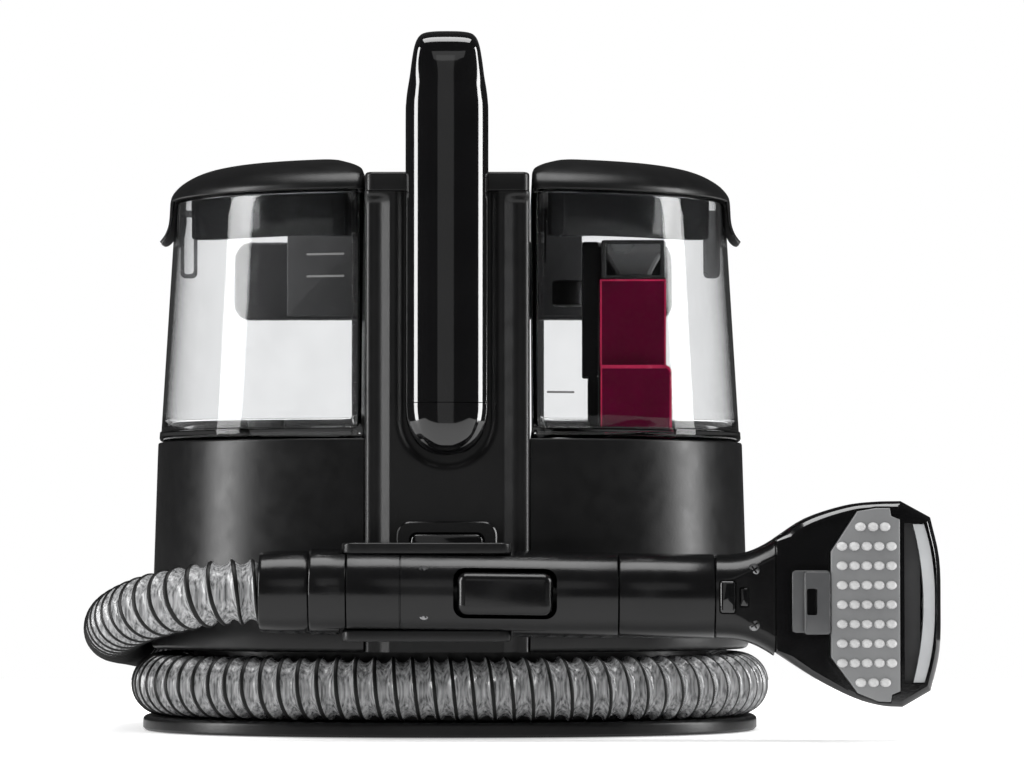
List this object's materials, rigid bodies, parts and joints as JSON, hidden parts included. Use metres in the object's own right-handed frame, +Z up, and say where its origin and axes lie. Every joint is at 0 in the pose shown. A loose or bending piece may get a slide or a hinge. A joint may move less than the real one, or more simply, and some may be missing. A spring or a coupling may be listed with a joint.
{
  "type": "portable carpet cleaner",
  "caption": "Portable spot carpet and upholstery cleaner with lift-off clean and dirty water tanks, an arched handle, a wrapped suction hose and a docked spray hand tool.",
  "frame": {"origin": "on the floor at the centre of the base plate's underside", "axes": "+Z up, front with the docked hand tool towards -Y, clean-water tank towards -X and dirty-water tank towards +X"},
  "size_m": [0.4082, 0.2932, 0.3357],
  "materials": {
    "satin_black": "satin moulded plastic",
    "gloss_black": "polished moulded plastic",
    "rubber_black": "matte",
    "inner_black": "plain moulded",
    "clear_plastic": "clear polished",
    "smoked_plastic": "smoked translucent",
    "red_plastic": "tinted translucent",
    "grey_plastic": "satin moulded plastic",
    "steel": "brushed",
    "hose_vinyl": "clear corrugated vinyl with a dark helix"
  },
  "bodies": {
    "root": {"base_plate": "satin_black", "foot_1": "rubber_black", "foot_2": "rubber_black", "foot_3": "rubber_black", "foot_4": "rubber_black", "hose_drum": "satin_black", "lower_housing": "satin_black", "tank_deck": "satin_black", "exhaust_grille": "satin_black", "cord_gland": "rubber_black", "column_front_cover": "satin_black", "column_rear_cover": "satin_black", "column_top_cap": "satin_black", "cable_wrap": "satin_black", "handle_arch": "gloss_black", "handle_end_cap": "gloss_black", "tool_dock": "satin_black", "switch_bezel": "satin_black", "power_switch": "inner_black", "motor_can": "steel", "fan_housing": "inner_black", "suction_duct": "inner_black", "water_pump": "inner_black", "pump_inlet_tube": "clear_plastic", "solution_tube": "clear_plastic", "inlet_duct": "inner_black", "hose_port": "satin_black", "hose": "hose_vinyl"},
    "power_button": {"power_button": "gloss_black"},
    "fan_impeller": {"fan_impeller": "grey_plastic"},
    "clean_tank": {"clean_tank": "clear_plastic", "clean_hinge_pin": "steel"},
    "outlet_valve": {"outlet_valve": "grey_plastic"},
    "clean_lid": {"clean_lid": "satin_black", "clean_lid_skirt": "smoked_plastic"},
    "dirty_tank": {"dirty_tank": "clear_plastic", "dirty_hinge_pin": "steel", "inlet_tower": "red_plastic", "inlet_funnel": "clear_plastic"},
    "dirty_lid": {"dirty_lid": "satin_black", "dirty_lid_skirt": "smoked_plastic"},
    "float": {"float": "grey_plastic"},
    "hand_tool": {"swivel_ring": "satin_black", "grip_front_shell": "satin_black", "grip_rear_shell": "satin_black", "trigger_valve": "inner_black", "tool_sleeve": "satin_black", "tool_neck": "satin_black", "grip_screw_1": "steel", "grip_screw_2": "steel", "neck_screw_1": "steel", "neck_screw_2": "steel"},
    "hose_cuff": {"hose_cuff": "gloss_black"},
    "trigger": {"trigger": "gloss_black"},
    "lock_button": {"lock_button": "gloss_black"},
    "nozzle": {"nozzle_head": "smoked_plastic", "nozzle_window": "clear_plastic", "spray_tip": "steel"},
    "brush": {"brush_plate": "grey_plastic", "brush_latch": "grey_plastic"}
  },
  "joints": [
    {"name": "power_press", "type": "slide", "parent": "root", "child": "power_button", "axis": [0, 1, 0], "range_m": [0, 0.0018], "stiffness_N_per_m": 400},
    {"name": "fan_spin", "type": "hinge", "parent": "root", "child": "fan_impeller", "pos_m": [0, 0.025, 0.054], "axis": [0, 0, 1], "continuous": true},
    {"name": "clean_tank_lift", "type": "slide", "parent": "root", "child": "clean_tank", "axis": [0, 0, 1], "range_m": [0, 0.15]},
    {"name": "outlet_valve_press", "type": "slide", "parent": "clean_tank", "child": "outlet_valve", "axis": [0, 0, 1], "range_m": [0, 0.003], "stiffness_N_per_m": 200},
    {"name": "clean_lid_open", "type": "hinge", "parent": "clean_tank", "child": "clean_lid", "pos_m": [-0.044, 0, 0.268], "axis": [0, 1, 0], "range_deg": [0, 70]},
    {"name": "dirty_tank_lift", "type": "slide", "parent": "root", "child": "dirty_tank", "axis": [0, 0, 1], "range_m": [0, 0.15]},
    {"name": "dirty_lid_open", "type": "hinge", "parent": "dirty_tank", "child": "dirty_lid", "pos_m": [0.044, 0, 0.268], "axis": [0, -1, 0], "range_deg": [0, 70]},
    {"name": "float_rise", "type": "slide", "parent": "dirty_lid", "child": "float", "axis": [0, 0, 1], "range_m": [0, 0.014]},
    {"name": "tool_undock", "type": "slide", "parent": "root", "child": "hand_tool", "axis": [0, -1, 0], "range_m": [0, 0.09]},
    {"name": "cuff_swivel", "type": "hinge", "parent": "hand_tool", "child": "hose_cuff", "pos_m": [-0.075, -0.14, 0.069], "axis": [1, 0, 0], "continuous": true},
    {"name": "trigger_pull", "type": "slide", "parent": "hand_tool", "child": "trigger", "axis": [0, 1, 0], "range_m": [0, 0.004], "stiffness_N_per_m": 500},
    {"name": "lock_press", "type": "slide", "parent": "hand_tool", "child": "lock_button", "axis": [0, 1, 0], "range_m": [0, 0.002], "stiffness_N_per_m": 500},
    {"name": "nozzle_pull_off", "type": "slide", "parent": "hand_tool", "child": "nozzle", "axis": [1, 0, 0], "range_m": [0, 0.04]},
    {"name": "brush_pull_off", "type": "slide", "parent": "nozzle", "child": "brush", "axis": [0, -1, 0], "range_m": [0, 0.012]}
  ]
}
